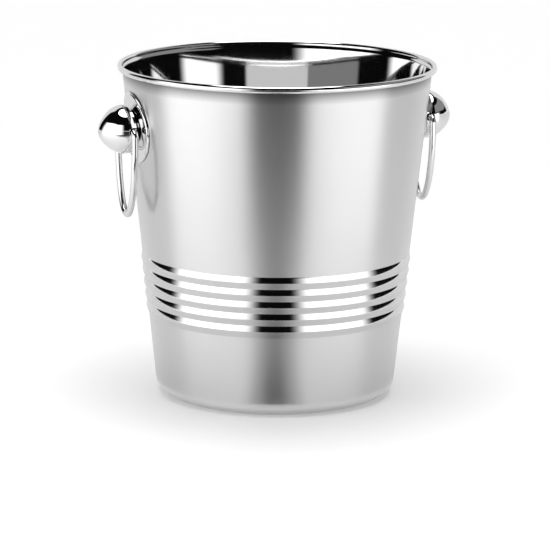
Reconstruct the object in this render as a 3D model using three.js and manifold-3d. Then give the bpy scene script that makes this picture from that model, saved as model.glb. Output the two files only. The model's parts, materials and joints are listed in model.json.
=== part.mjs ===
// Champagne bucket in stainless steel: a drawn, slightly tapered shell with a rolled rim and five
// reeds round its lower half, and a hanging ring handle on each side. Each ring swings in the cross
// bore of a turned knob, which is screwed through the wall from inside.
// Millimetres, +Z up. The origin is the centre of the foot, and the handles lie along X.

import * as THREE from 'three';
import { mergeVertices } from 'three/addons/utils/BufferGeometryUtils.js';
import Module from 'manifold-3d';

const wasm = await Module();
wasm.setup();

// ---- Driving dimensions -----------------------------------------------------------------------

// Shell
const HEIGHT = 210; // foot to the top of the rolled rim
const RIM_DIAMETER = 200; // outside of the rolled rim
const RIM_ROLL = 3; // diameter of the roll
const FOOT_WALL_DIAMETER = 149.4; // outside of the tapered wall, carried down to the floor
const SHEET = 1; // wall thickness
const CORNER_RADIUS = 11; // between the wall and the bottom
const FOOT_WIDTH = 9; // width of the flat ring that stands on the floor
const BOTTOM_RECESS = 1.5; // how far the middle of the bottom is pushed up
const RECESS_SLOPE = 2.5; // width of the slope up to it

// Reeds pressed out of the wall
const REED_COUNT = 5;
const REED_PITCH = 7.8;
const REED_HEIGHT = 0.8; // how far a crest stands out of the wall
const REED_TOP = 90.5; // height of the upper edge of the highest reed
const REED_CREST_SHARE = 0.47; // upper face of a reed, as a share of its pitch

// Handle mounting
const MOUNT_HEIGHT = 173.7; // of the mounting hole in the wall
const SCREW_DIAMETER = 5;
const SCREW_LENGTH = 20;
const SCREW_HEAD_DIAMETER = 9.5;
const SCREW_HEAD_HEIGHT = 2.8;
const SCREW_SOCKET = 3; // across the flats
const SCREW_SOCKET_DEPTH = 1.6;
const SCREW_CHAMFER = 0.8; // at the tip
const ESCUTCHEON_DIAMETER = 44.8;
const ESCUTCHEON_SHEET = 1;
const ESCUTCHEON_BOSS_DIAMETER = 19;
const ESCUTCHEON_BOSS_FOOT = 27;
const ESCUTCHEON_BOSS_HEIGHT = 0.3;
const SEAL_DIAMETER = 14;
const SEAL_THICKNESS = 1;
const BACKING_DIAMETER = 14;
const BACKING_THICKNESS = 1.2;
const SPRING_DIAMETER = 8.8;
const SPRING_THICKNESS = 1.2;
const SPRING_SPLIT = 1; // gap in the split ring

// Knob
const KNOB_DIAMETER = 30.6;
const KNOB_LENGTH = 21.4;
const KNOB_BACK_DIAMETER = 24;
const BORE_OFFSET = 3.1; // cross bore above the back of the knob
const KNOB_SCREW_DEPTH = 12.8; // depth of the tapped hole

// Ring
const WIRE_DIAMETER = 4.2;
const RING_DROP = 53.8; // hinge to the middle of the wire at the lowest point
const RING_OVAL = 45.8; // half height of the oval bow
const RING_BEND = 3.2; // radius of the two bends at the bore
const RING_SIDE_GAP = 0.4; // between the knob and each side of the ring
const WIRE_END_GAP = 1.1; // between the screw and each end of the wire

// Clearances
const SEAT_GAP = 0.3; // between faces that rest on each other
const HOLE_GAP = 0.3; // round the screw
const BORE_GAP = 0.6; // round the wire in the cross bore

// Fineness of the facets
const SHELL_FACETS = 60;
const FINE_FACETS = 120;
const TURNED_FACETS = 24;
const WIRE_FACETS = 8;
const WIRE_STEPS = 64;

// ---- Values that follow -----------------------------------------------------------------------

const rollRadius = RIM_ROLL / 2;
const rollCentreRadius = RIM_DIAMETER / 2 - rollRadius;
const rollCentreHeight = HEIGHT - rollRadius;
const footWallRadius = FOOT_WALL_DIAMETER / 2;
const topWallRadius = rollCentreRadius - rollRadius + SHEET / 4;
const taper = Math.atan((topWallRadius - footWallRadius) / rollCentreHeight);
const wallRadius = (height) => footWallRadius + Math.tan(taper) * height;

const mountRadius = wallRadius(MOUNT_HEIGHT);
const escutcheonTop = SEAT_GAP + ESCUTCHEON_SHEET + ESCUTCHEON_BOSS_HEIGHT;
const knobBack = escutcheonTop + SEAT_GAP;
const boreCentre = knobBack + BORE_OFFSET;
const ringHalfWidth = KNOB_DIAMETER / 2 + RING_SIDE_GAP + WIRE_DIAMETER / 2;
const screwHoleRadius = SCREW_DIAMETER / 2 + HOLE_GAP;
const hingeRadius = mountRadius + Math.cos(taper) * boreCentre;
const hingeHeight = MOUNT_HEIGHT - Math.sin(taper) * boreCentre;

// ---- Solids -----------------------------------------------------------------------------------

// Turns a closed three.js geometry into a solid that can be cut and joined.
function toSolid(geometry) {
  const bare = geometry.clone();
  bare.deleteAttribute('normal');
  bare.deleteAttribute('uv');
  const merged = mergeVertices(bare, 1e-4);
  return new wasm.Manifold(new wasm.Mesh({
    numProp: 3,
    vertProperties: new Float32Array(merged.attributes.position.array),
    triVerts: new Uint32Array(merged.index.array),
  }));
}

function toGeometry(solid) {
  const mesh = solid.getMesh();
  const geometry = new THREE.BufferGeometry();
  geometry.setAttribute('position', new THREE.BufferAttribute(new Float32Array(mesh.vertProperties), 3));
  geometry.setIndex(new THREE.BufferAttribute(new Uint32Array(mesh.triVerts), 1));
  geometry.computeVertexNormals();
  return geometry;
}

// A solid turned about Z from a closed outline of [radius, height] points, running anticlockwise.
function turned(outline, facets) {
  const points = outline.map(([radius, height]) => new THREE.Vector2(radius, height));
  points.push(points[0].clone());
  return new THREE.LatheGeometry(points, facets);
}

// The same about X, with the outline's heights running along +X.
function turnedAlongX(outline, facets = TURNED_FACETS) {
  return turned(outline, facets).rotateX(Math.PI / 2).rotateY(Math.PI / 2);
}

// LatheGeometry turns about Y, so a part that stands on Z is tipped up.
function standing(geometry) {
  return geometry.rotateX(Math.PI / 2);
}

function rod(radius, from, to, facets = TURNED_FACETS) {
  const geometry = new THREE.CylinderGeometry(radius, radius, to - from, facets);
  return geometry.rotateZ(-Math.PI / 2).translate((from + to) / 2, 0, 0);
}

// Points on an arc about (radius, height), from one angle to another in degrees.
function arc(radius, height, size, fromDegrees, toDegrees, steps) {
  const points = [];
  for (let step = 0; step <= steps; step += 1) {
    const angle = THREE.MathUtils.degToRad(fromDegrees + (toDegrees - fromDegrees) * step / steps);
    points.push([radius + size * Math.cos(angle), height + size * Math.sin(angle)]);
  }
  return points;
}

// ---- Shell ------------------------------------------------------------------------------------

// The outside of the reeds as [radius, height] points, from the highest edge down.
function reedLine() {
  const points = [[wallRadius(REED_TOP), REED_TOP]];
  for (let reed = 0; reed < REED_COUNT; reed += 1) {
    const edge = REED_TOP - reed * REED_PITCH;
    const crest = edge - REED_CREST_SHARE * REED_PITCH;
    points.push([wallRadius(crest) + REED_HEIGHT, crest]);
    points.push([wallRadius(edge - REED_PITCH), edge - REED_PITCH]);
  }
  return points;
}

// The middle of the corner, which touches the floor and the tapered wall.
const taperDegrees = THREE.MathUtils.radToDeg(taper);
const cornerCentre = wallRadius(CORNER_RADIUS) - CORNER_RADIUS / Math.cos(taper);

function shellOutline() {
  const footInner = cornerCentre - FOOT_WIDTH;
  const recessEdge = footInner - RECESS_SLOPE;
  const sheetAcross = SHEET / Math.cos(taper);
  const inset = ([radius, height]) => [radius - sheetAcross, height];
  const outerWall = [
    ...arc(cornerCentre, CORNER_RADIUS, CORNER_RADIUS, -90, -taperDegrees, 4),
    ...reedLine().reverse(),
  ];
  const innerWall = [
    ...reedLine().map(inset),
    ...arc(cornerCentre, CORNER_RADIUS, CORNER_RADIUS - SHEET, -taperDegrees, -90, 4),
  ];
  const rollStart = [wallRadius(HEIGHT - RIM_ROLL), HEIGHT - RIM_ROLL];
  return [
    [0, BOTTOM_RECESS],
    [recessEdge, BOTTOM_RECESS],
    [footInner, 0],
    ...outerWall,
    rollStart,
    ...arc(rollCentreRadius, rollCentreHeight, rollRadius, -120, 180, 9),
    inset([wallRadius(HEIGHT - 2 * RIM_ROLL), HEIGHT - 2 * RIM_ROLL]),
    ...innerWall,
    [footInner, SHEET],
    [recessEdge, BOTTOM_RECESS + SHEET],
    [0, BOTTOM_RECESS + SHEET],
  ];
}

function shellSolid() {
  const hole = toSolid(rod(screwHoleRadius, -4 * SHEET, 4 * SHEET));
  const placed = (direction) => hole.transform(handlePlace(direction).toArray());
  const body = toSolid(standing(turned(shellOutline(), SHELL_FACETS)));
  return body.subtract(placed(1)).subtract(placed(-1));
}

// ---- Handle pieces, with +X along the outward normal of the wall at the mounting hole ---------

// Moves the handle's frame to the mounting hole: direction 1 is the +X side and -1 the other.
function handlePlace(direction) {
  const place = new THREE.Matrix4().makeRotationZ(direction > 0 ? 0 : Math.PI);
  place.multiply(new THREE.Matrix4().makeTranslation(mountRadius, 0, MOUNT_HEIGHT));
  return place.multiply(new THREE.Matrix4().makeRotationY(taper));
}

// The space inside the tapered wall grown by a distance, as far up and down as the escutcheon reaches.
function grownWall(distance) {
  const low = MOUNT_HEIGHT - ESCUTCHEON_DIAMETER;
  const high = MOUNT_HEIGHT + ESCUTCHEON_DIAMETER;
  const grow = distance / Math.cos(taper);
  const outline = [[0, low], [wallRadius(low) + grow, low], [wallRadius(high) + grow, high], [0, high]];
  return toSolid(standing(turned(outline, FINE_FACETS)));
}

// A round plate pressed to the curve of the wall, with a low cone in the middle for the knob.
function escutcheonSolid() {
  const toHandle = new THREE.Matrix4().copy(handlePlace(1)).invert().toArray();
  const plate = grownWall(SEAT_GAP + ESCUTCHEON_SHEET).subtract(grownWall(SEAT_GAP)).transform(toHandle);
  const reach = ESCUTCHEON_DIAMETER / 4;
  const blank = toSolid(rod(ESCUTCHEON_DIAMETER / 2, -reach, reach, 2 * TURNED_FACETS));
  const bossBase = SEAT_GAP + ESCUTCHEON_SHEET / 4;
  const boss = toSolid(turnedAlongX([
    [0, bossBase],
    [ESCUTCHEON_BOSS_FOOT / 2, bossBase],
    [ESCUTCHEON_BOSS_DIAMETER / 2, escutcheonTop],
    [0, escutcheonTop],
  ]));
  const hole = toSolid(rod(screwHoleRadius, -reach, reach));
  return plate.intersect(blank).add(boss).subtract(hole);
}

// A squat ball with a blunt conical nose, bored across for the wire and tapped from the back.
function knobSolid() {
  const back = KNOB_BACK_DIAMETER / 2;
  const belly = KNOB_DIAMETER / 2;
  const at = (share) => knobBack + share * KNOB_LENGTH;
  const body = toSolid(turnedAlongX([
    [0, at(0)],
    [back, at(0)],
    [back + (belly - back) * 0.3, at(0.03)],
    [back + (belly - back) * 0.6, at(0.085)],
    [belly * 0.975, at(0.155)],
    [belly, at(0.24)],
    [belly * 0.977, at(0.38)],
    [belly * 0.87, at(0.55)],
    [belly * 0.742, at(0.68)],
    [belly * 0.6, at(0.785)],
    [belly * 0.36, at(0.925)],
    [belly * 0.195, at(0.986)],
    [0, at(1)],
  ]));
  const boreRod = rod(WIRE_DIAMETER / 2 + BORE_GAP, -KNOB_DIAMETER, KNOB_DIAMETER);
  const bore = toSolid(boreRod.rotateZ(Math.PI / 2).translate(boreCentre, 0, 0));
  const tapped = toSolid(rod(screwHoleRadius, knobBack - SEAT_GAP, knobBack + KNOB_SCREW_DEPTH));
  return body.subtract(bore).subtract(tapped);
}

function washer(outerDiameter, from, thickness) {
  return turnedAlongX([
    [screwHoleRadius, from - thickness],
    [outerDiameter / 2, from - thickness],
    [outerDiameter / 2, from],
    [screwHoleRadius, from],
  ]);
}

// The stack inside the bucket: flat washers bridge the curve of the wall and its facets.
const innerRadius = mountRadius - SHEET;
const wallBulge = (SEAL_DIAMETER / 2) ** 2 / (2 * innerRadius);
const facetBulge = innerRadius * (1 - Math.cos(Math.PI / SHELL_FACETS));
const sealFace = -(SHEET + wallBulge + facetBulge + SEAT_GAP);
const backingFace = sealFace - SEAL_THICKNESS - SEAT_GAP;
const springFace = backingFace - BACKING_THICKNESS - SEAT_GAP;
const headFace = springFace - SPRING_THICKNESS - SEAT_GAP;

function springWasherSolid() {
  const ring = toSolid(washer(SPRING_DIAMETER, springFace, SPRING_THICKNESS));
  const split = new THREE.BoxGeometry(4 * SPRING_THICKNESS, SPRING_SPLIT, SPRING_DIAMETER);
  return ring.subtract(toSolid(split.translate(springFace, 0, SPRING_DIAMETER / 2)));
}

function screwSolid() {
  const shank = SCREW_DIAMETER / 2;
  const head = SCREW_HEAD_DIAMETER / 2;
  const top = headFace - SCREW_HEAD_HEIGHT;
  const body = toSolid(turnedAlongX([
    [0, top],
    [head * 0.62, top],
    [head * 0.9, top + SCREW_HEAD_HEIGHT * 0.35],
    [head, top + SCREW_HEAD_HEIGHT * 0.75],
    [head, headFace],
    [shank, headFace],
    [shank, headFace + SCREW_LENGTH - SCREW_CHAMFER],
    [shank - SCREW_CHAMFER, headFace + SCREW_LENGTH],
    [0, headFace + SCREW_LENGTH],
  ]));
  const socketRadius = SCREW_SOCKET / 2 / Math.cos(Math.PI / 6);
  return body.subtract(toSolid(rod(socketRadius, top - 1, top + SCREW_SOCKET_DEPTH, 6)));
}

// ---- Ring, in the plane of Y and Z, with the hinge at its origin ------------------------------

// Part of an ellipse in the plane of Y and Z, from one angle to another.
class PlaneArc extends THREE.Curve {
  constructor(centreY, centreZ, halfWidth, halfHeight, fromAngle, toAngle) {
    super();
    Object.assign(this, { centreY, centreZ, halfWidth, halfHeight, fromAngle, toAngle });
  }

  getPoint(t, target = new THREE.Vector3()) {
    const angle = this.fromAngle + (this.toAngle - this.fromAngle) * t;
    return target.set(
      0,
      this.centreY + this.halfWidth * Math.cos(angle),
      this.centreZ + this.halfHeight * Math.sin(angle),
    );
  }
}

// One end in the bore, a tight bend, a straight side, the oval bow, and the same again.
function ringPath() {
  const end = SCREW_DIAMETER / 2 + WIRE_END_GAP;
  const straightEnd = RING_DROP - RING_OVAL;
  const bendY = ringHalfWidth - RING_BEND;
  const point = (y, z) => new THREE.Vector3(0, y, z);
  const path = new THREE.CurvePath();
  path.add(new THREE.LineCurve3(point(-end, 0), point(-bendY, 0)));
  path.add(new PlaneArc(-bendY, -RING_BEND, RING_BEND, RING_BEND, Math.PI / 2, Math.PI));
  path.add(new THREE.LineCurve3(point(-ringHalfWidth, -RING_BEND), point(-ringHalfWidth, -straightEnd)));
  path.add(new PlaneArc(0, -straightEnd, ringHalfWidth, RING_OVAL, Math.PI, 2 * Math.PI));
  path.add(new THREE.LineCurve3(point(ringHalfWidth, -straightEnd), point(ringHalfWidth, -RING_BEND)));
  path.add(new PlaneArc(bendY, -RING_BEND, RING_BEND, RING_BEND, 0, Math.PI / 2));
  path.add(new THREE.LineCurve3(point(bendY, 0), point(end, 0)));
  return path;
}

function ringGeometry() {
  const corners = [];
  for (let corner = 0; corner < WIRE_FACETS; corner += 1) {
    const angle = (2 * Math.PI * corner) / WIRE_FACETS;
    corners.push(new THREE.Vector2(Math.cos(angle), Math.sin(angle)).multiplyScalar(WIRE_DIAMETER / 2));
  }
  const options = { steps: WIRE_STEPS, bevelEnabled: false, extrudePath: ringPath() };
  return new THREE.ExtrudeGeometry(new THREE.Shape(corners), options);
}

// ---- Assembly ---------------------------------------------------------------------------------

function finish(color, roughness, metalness) {
  return new THREE.MeshStandardMaterial({ color, roughness, metalness });
}

function piece(name, geometry, material) {
  const mesh = new THREE.Mesh(geometry, material);
  mesh.name = name;
  return mesh;
}

function handle(side, direction) {
  const mounted = new THREE.Group();
  mounted.applyMatrix4(handlePlace(direction));
  const seal = washer(SEAL_DIAMETER, sealFace, SEAL_THICKNESS);
  const backing = washer(BACKING_DIAMETER, backingFace, BACKING_THICKNESS);
  mounted.add(
    piece(`${side}_escutcheon`, toGeometry(escutcheonSolid()), finish(0xd4d6d8, 0.08, 1)),
    piece(`${side}_knob`, toGeometry(knobSolid()), finish(0xd8dadc, 0.05, 1)),
    piece(`${side}_seal_washer`, seal, finish(0xe6e4dd, 0.5, 0)),
    piece(`${side}_backing_washer`, backing, finish(0xc4c6c8, 0.3, 1)),
    piece(`${side}_spring_washer`, toGeometry(springWasherSolid()), finish(0xb4b6b9, 0.35, 1)),
    piece(`${side}_fixing_screw`, toGeometry(screwSolid()), finish(0xbfc1c4, 0.25, 1)),
  );

  const ring = piece(`${side}_ring`, ringGeometry(), finish(0xdadcde, 0.05, 1));
  ring.position.set(direction * hingeRadius, 0, hingeHeight);

  const group = new THREE.Group();
  group.add(mounted, ring);
  return group;
}

const bucket = new THREE.Group();
bucket.add(
  piece('bucket_shell', toGeometry(shellSolid()), finish(0xc9cbcd, 0.3, 1)),
  handle('right', 1),
  handle('left', -1),
);

export default bucket;
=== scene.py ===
"""A stainless champagne bucket with two hanging ring handles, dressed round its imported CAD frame.

Every new piece is a surface worked out with numpy. A turned piece is an outline of (radius, height)
points carried round its axis. A wire is a circle carried along a path. Lengths in the classes are
millimetres, and they become metres where a mesh is made.
"""

from __future__ import annotations

import json
import logging
import math
from collections.abc import Callable, Sequence
from dataclasses import dataclass, field, replace
from enum import Enum

import bpy
import numpy as np
from mathutils import Matrix, Vector


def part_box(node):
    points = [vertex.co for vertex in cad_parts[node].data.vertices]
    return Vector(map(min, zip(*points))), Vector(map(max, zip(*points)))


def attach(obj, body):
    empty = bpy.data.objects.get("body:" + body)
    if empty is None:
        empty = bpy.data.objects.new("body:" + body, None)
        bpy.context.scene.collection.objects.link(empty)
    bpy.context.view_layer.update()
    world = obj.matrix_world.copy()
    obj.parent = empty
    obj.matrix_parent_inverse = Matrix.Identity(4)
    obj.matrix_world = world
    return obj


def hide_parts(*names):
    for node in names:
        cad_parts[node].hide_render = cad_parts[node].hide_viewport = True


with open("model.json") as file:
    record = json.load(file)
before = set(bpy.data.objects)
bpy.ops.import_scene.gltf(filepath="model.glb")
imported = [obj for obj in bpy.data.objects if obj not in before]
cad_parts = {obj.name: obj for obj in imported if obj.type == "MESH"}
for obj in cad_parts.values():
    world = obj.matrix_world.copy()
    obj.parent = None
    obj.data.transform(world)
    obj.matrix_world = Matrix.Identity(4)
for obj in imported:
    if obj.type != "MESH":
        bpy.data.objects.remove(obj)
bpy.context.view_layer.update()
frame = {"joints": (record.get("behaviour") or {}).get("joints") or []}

MM = 0.001
LOG = logging.getLogger("champagne_bucket")
BODY = "bucket"
WHITE = (1.0, 1.0, 1.0, 1.0)
CARD_BLACK = (0.004, 0.004, 0.004, 1.0)
EASE_PULL = 0.4
EASE_MARGIN = 1.3


# ---- Shader expressions -------------------------------------------------------------------------


class Signal:
    """A number in a shader, written as a Python expression that adds Math nodes as it is worked out."""

    def __init__(self, graph: Graph, socket: bpy.types.NodeSocket) -> None:
        """Wraps one output socket of a node graph."""
        self.graph = graph
        self.socket = socket

    def math(self, operation: str, *others: Signal | float, clamp: bool = False) -> Signal:
        """The result of a Math node that takes this number first and the others after it."""
        settings = {"operation": operation, "use_clamp": clamp}
        return self.graph.add("ShaderNodeMath", settings, {0: self, **dict(enumerate(others, 1))})[0]

    def __add__(self, other: Signal | float) -> Signal:
        """This plus another number."""
        return self.math("ADD", other)

    __radd__ = __add__

    def __sub__(self, other: Signal | float) -> Signal:
        """This minus another number."""
        return self.math("SUBTRACT", other)

    def __rsub__(self, other: Signal | float) -> Signal:
        """Another number minus this."""
        return self.graph.add("ShaderNodeMath", {"operation": "SUBTRACT"}, {0: other, 1: self})[0]

    def __mul__(self, other: Signal | float) -> Signal:
        """This times another number."""
        return self.math("MULTIPLY", other)

    __rmul__ = __mul__

    def __truediv__(self, other: Signal | float) -> Signal:
        """This over another number."""
        return self.math("DIVIDE", other)

    def __pow__(self, other: Signal | float) -> Signal:
        """This to a power."""
        return self.math("POWER", other)

    def clamped(self) -> Signal:
        """This kept from 0 to 1."""
        return self.math("ADD", 0.0, clamp=True)


class Graph:
    """The nodes of one material or world, all added through one method."""

    def __init__(self, tree: bpy.types.NodeTree) -> None:
        """Starts from an emptied node tree."""
        self.tree = tree
        tree.nodes.clear()

    def add(self, kind: str, settings: dict | None = None, inputs: dict | None = None) -> list[Signal]:
        """Adds a node: its type first, then its settings, then what its sockets get.

        Args:
            kind: the node's type.
            settings: values of the node itself, or its ramp's stops under "stops".
            inputs: a value, a Signal or a socket for each input, by its name or number.

        Returns:
            The node's outputs that are in use, in order.
        """
        node = self.tree.nodes.new(kind)
        for key, value in (settings or {}).items():
            if key == "stops":
                self._set_stops(node.color_ramp, value)
            else:
                setattr(node, key, value)
        for key, value in (inputs or {}).items():
            target = node.inputs[key]
            if isinstance(value, Signal):
                self.tree.links.new(value.socket, target)
            else:
                target.default_value = value
        return [Signal(self, output) for output in node.outputs if output.enabled]

    @staticmethod
    def _set_stops(ramp: bpy.types.ColorRamp, stops: Sequence[tuple[float, tuple]]) -> None:
        """Sets a ramp's stops.

        Args:
            ramp: the ramp, which starts with two stops.
            stops: each stop's place and colour, from low to high.
        """
        while len(ramp.elements) < len(stops):
            ramp.elements.new(1.0)
        for element, (place, colour) in zip(ramp.elements, stops, strict=True):
            element.position = place
            element.color = colour

    def noise(self, vector: Signal, scale: Sequence[float], detail: float) -> Signal:
        """Noise from 0 to 1 whose grain is stretched by a scale of its own along each axis.

        Args:
            vector: the place on the surface.
            scale: grains per metre along X, Y and Z.
            detail: how many finer layers it has.

        Returns:
            The noise's value.
        """
        settings = {"operation": "MULTIPLY"}
        stretched = self.add("ShaderNodeVectorMath", settings, {0: vector, 1: tuple(scale)})[0]
        inputs = {"Vector": stretched, "Scale": 1.0, "Detail": detail, "Roughness": 0.6}
        return self.add("ShaderNodeTexNoise", {"noise_dimensions": "3D"}, inputs)[0]

    def place(self) -> list[Signal]:
        """The X, Y and Z of the place on the object."""
        place = self.add("ShaderNodeTexCoord")[3]
        return self.add("ShaderNodeSeparateXYZ", {}, {"Vector": place})

    def surface(self, shader: Signal) -> None:
        """Adds the material's output."""
        self.add("ShaderNodeOutputMaterial", {}, {"Surface": shader})


def opened(made: bpy.types.Material | bpy.types.World) -> Graph:
    """The emptied node graph of a new material or world."""
    made.use_nodes = True
    return Graph(made.node_tree)


def smooth(t: Signal | np.ndarray) -> Signal | np.ndarray:
    """A share from 0 to 1 that leaves and arrives level: 3 t squared less 2 t cubed."""
    return t * t * (3.0 - 2.0 * t)


# ---- Finishes -----------------------------------------------------------------------------------


class Slot(Enum):
    """The record's material slots."""

    SATIN = "satin_steel"
    POLISHED = "polished_steel"
    WIRE = "polished_wire"
    NYLON = "seal_nylon"
    FIXING = "fixing_steel"


@dataclass(frozen=True)
class Steel:
    """A stainless finish: its lie follows the "lie" attribute, whose third part runs across the lines.

    The line noise is stretched along the lines. It moves the roughness, the colour and the height of
    the surface a little. A broad, slow noise adds the haze that handling leaves. Below a crease, such
    as the one under a rolled rim, the colour is painted darker: painted shade that stands in for the
    bead's shadow and for the dark that the wall reflects from the bead's underside.
    """

    name: str
    tone: float
    roughness: float
    anisotropy: float = 0.0
    line_pitch: float = 0.4
    line_depth: float = 0.0
    line_roughness: float = 0.0
    haze: float = 0.02
    # Painted shade below a crease: the height where it is darkest, how far down it reaches and how dark it
    # is.
    painted_shade_at: float = 0.0
    painted_shade_reach: float = 0.0
    painted_shade_depth: float = 0.0
    stretch: float = 100.0
    fine_along: float = 2.0
    fine_across: float = 3.3
    fine_share: float = 0.6
    haze_scale: float = 18.0
    shade_share: float = 0.25
    smoothest: float = 0.02

    def material(self) -> bpy.types.Material:
        """Works the finish out as nodes.

        Returns:
            A new material.
        """
        made = bpy.data.materials.new(self.name)
        graph = opened(made)
        lie = graph.add("ShaderNodeAttribute", {"attribute_name": "lie"})[1]
        across = 1 / (self.line_pitch * MM)
        along = across / self.stretch
        finer = (along * self.fine_along, along * self.fine_along, across * self.fine_across)
        lines = graph.noise(lie, (along, along, across), 3.0) - 0.5
        fine = graph.noise(lie, finer, 2.0) - 0.5
        haze = graph.noise(lie, (self.haze_scale,) * 3, 3.0) - 0.5
        line = lines + self.fine_share * fine
        rough = self.roughness + line * self.line_roughness + haze * self.haze
        shade = 1.0 + line * (self.line_roughness * self.shade_share) - haze * self.haze
        # Painted shade: the colour is darkened in a band below the crease under the rolled rim, standing in
        # for the bead's shadow and the dark reflection of its underside.
        if self.painted_shade_depth:
            height = graph.place()[2]
            near = ((height - (self.painted_shade_at - self.painted_shade_reach)) / self.painted_shade_reach).clamped()
            shade = shade * (1.0 - self.painted_shade_depth * near)
        grey = {0: (self.tone, self.tone, self.tone), "Scale": shade}
        colour = graph.add("ShaderNodeVectorMath", {"operation": "SCALE"}, grey)[0]
        inputs = {
            "Base Color": colour,
            "Metallic": 1.0,
            "Roughness": rough.math("MAXIMUM", self.smoothest),
            "Anisotropic": self.anisotropy,
            "Anisotropic Rotation": 0.25,
        }
        if self.line_depth:
            bump = {"Strength": 1.0, "Distance": self.line_depth * MM, "Height": line}
            inputs["Normal"] = graph.add("ShaderNodeBump", {}, bump)[0]
        surface = graph.add("ShaderNodeBsdfPrincipled", {}, inputs)[0]
        graph.surface(surface)
        return made


@dataclass(frozen=True)
class Nylon:
    """Natural white nylon, slightly cloudy, with a soft gloss and a fine moulded grain."""

    name: str = "natural_nylon"
    roughness: float = 0.48
    cloud_scale: float = 260.0
    grain_scale: float = 4000.0
    grain_depth: float = 0.02

    def material(self) -> bpy.types.Material:
        """Works the finish out as nodes.

        Returns:
            A new material.
        """
        made = bpy.data.materials.new(self.name)
        graph = opened(made)
        lie = graph.add("ShaderNodeAttribute", {"attribute_name": "lie"})[1]
        cloud = graph.noise(lie, (self.cloud_scale,) * 3, 3.0)
        grain = graph.noise(lie, (self.grain_scale,) * 3, 2.0)
        stops = [(0.3, (0.70, 0.68, 0.62, 1.0)), (0.7, (0.80, 0.79, 0.74, 1.0))]
        colour = graph.add("ShaderNodeValToRGB", {"stops": stops}, {"Fac": cloud})[0]
        bump = {"Strength": 0.4, "Distance": self.grain_depth * MM, "Height": grain}
        inputs = {
            "Base Color": colour,
            "Roughness": self.roughness + 0.1 * (grain - 0.5),
            "Normal": graph.add("ShaderNodeBump", {}, bump)[0],
        }
        surface = graph.add("ShaderNodeBsdfPrincipled", {}, inputs)[0]
        graph.surface(surface)
        return made


SATIN = Steel(
    "satin_wall", 0.76, 0.29, anisotropy=0.85, line_pitch=0.4, line_depth=0.0003, line_roughness=0.04
)
REED_MIRROR = Steel("rolled_reed_mirror", 0.86, 0.07, line_pitch=0.6, line_roughness=0.03)
SPUN_INSIDE = Steel(
    "spun_inside", 0.84, 0.04, line_pitch=0.9, line_depth=0.0001, line_roughness=0.02
)
MIRROR = Steel("polished_fitting", 0.88, 0.03, line_pitch=0.5, line_roughness=0.012, haze=0.012)
WIRE = Steel("polished_wire", 0.88, 0.04, line_pitch=0.3, line_roughness=0.02, haze=0.015)
TURNED = Steel(
    "turned_fixing", 0.62, 0.26, anisotropy=0.4, line_pitch=0.25, line_depth=0.003, line_roughness=0.12
)


# ---- Surfaces -----------------------------------------------------------------------------------


class Ends(Enum):
    """How the first and last rows of a grid are closed."""

    POLES = "each of them is a single point"
    LOOP = "the last row joins the first"


def arc(centre: tuple[float, float], size: float, start: float, stop: float, steps: int) -> np.ndarray:
    """Points centre plus size times (cos a, sin a), for even angles a between two in degrees."""
    angles = np.radians(np.linspace(start, stop, steps + 1))
    return np.array(centre) + size * np.stack([np.cos(angles), np.sin(angles)], axis=1)


def curve(start: Sequence, pull: Sequence, push: Sequence, stop: Sequence, steps: int) -> np.ndarray:
    """Points on a cubic curve: the four corners weighted by the cubic Bernstein shares.

    Args:
        start: where it starts.
        pull: the corner that it leaves towards.
        push: the corner that it arrives from.
        stop: where it stops.
        steps: how many stretches the curve has.

    Returns:
        The points, one a row.
    """
    t = np.linspace(0.0, 1.0, steps + 1)[:, None]
    corners = [np.array(corner, float) for corner in (start, pull, push, stop)]
    shares = [(1 - t) ** 3, 3 * t * (1 - t) ** 2, 3 * t**2 * (1 - t), t**3]
    return sum(share * corner for share, corner in zip(shares, corners, strict=True))


def eased(corners: Sequence[tuple[float, float]], ease: float, steps: int = 4) -> np.ndarray:
    """A chain of straight stretches whose inner corners are rounded by a small curve.

    Each corner is replaced by a cubic curve that starts and stops one ease away from it, with one
    more point on each side, so that smooth shading turns at the corner and nowhere else.

    Args:
        corners: the chain's corners.
        ease: how far from a corner its curve starts.
        steps: how many stretches each curve has.

    Returns:
        The points, one a row.
    """
    points = [np.array(corner, float) for corner in corners]
    rows = [points[:1]]
    for before, corner, after in zip(points, points[1:], points[2:]):
        back = (before - corner) / np.linalg.norm(before - corner)
        ahead = (after - corner) / np.linalg.norm(after - corner)
        pull, push = corner + EASE_PULL * ease * back, corner + EASE_PULL * ease * ahead
        turn = curve(corner + ease * back, pull, push, corner + ease * ahead, steps)
        rows.append([corner + EASE_MARGIN * ease * back, *turn, corner + EASE_MARGIN * ease * ahead])
    rows.append(points[-1:])
    return np.concatenate([np.array(row) for row in rows])


def even_angles(columns: int) -> np.ndarray:
    """Even angles once round, in radians."""
    return np.linspace(0.0, 2 * math.pi, columns, endpoint=False)


def turned(outline: np.ndarray, columns: int) -> np.ndarray:
    """An outline carried round its axis: (radius cos a, radius sin a, height) for even angles a.

    Args:
        outline: (radius, height) points.
        columns: how many points go round.

    Returns:
        A grid of points, with the outline down and the angle across.
    """
    angles = even_angles(columns)
    radius, height = outline[:, :1], outline[:, 1:]
    return np.stack([radius * np.cos(angles), radius * np.sin(angles), height + 0 * angles], axis=2)


def swept(path: np.ndarray, radii: np.ndarray, columns: int) -> np.ndarray:
    """A circle carried along a path in the plane of Y and Z.

    At each point the circle lies across the path: point plus radius times (cos a X + sin a B), where
    B is the path's direction turned a quarter in its plane.

    Args:
        path: points with X = 0.
        radii: the circle's radius at each point.
        columns: how many points go round.

    Returns:
        A grid of points, with the path down and the angle across.
    """
    along = np.gradient(path, axis=0)
    along /= np.linalg.norm(along, axis=1, keepdims=True)
    side = np.array([1.0, 0.0, 0.0])
    across = np.cross(along, side)
    angles = even_angles(columns)
    ring = np.cos(angles)[None, :, None] * side + np.sin(angles)[None, :, None] * across[:, None, :]
    return path[:, None, :] + radii[:, None, None] * ring


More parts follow.
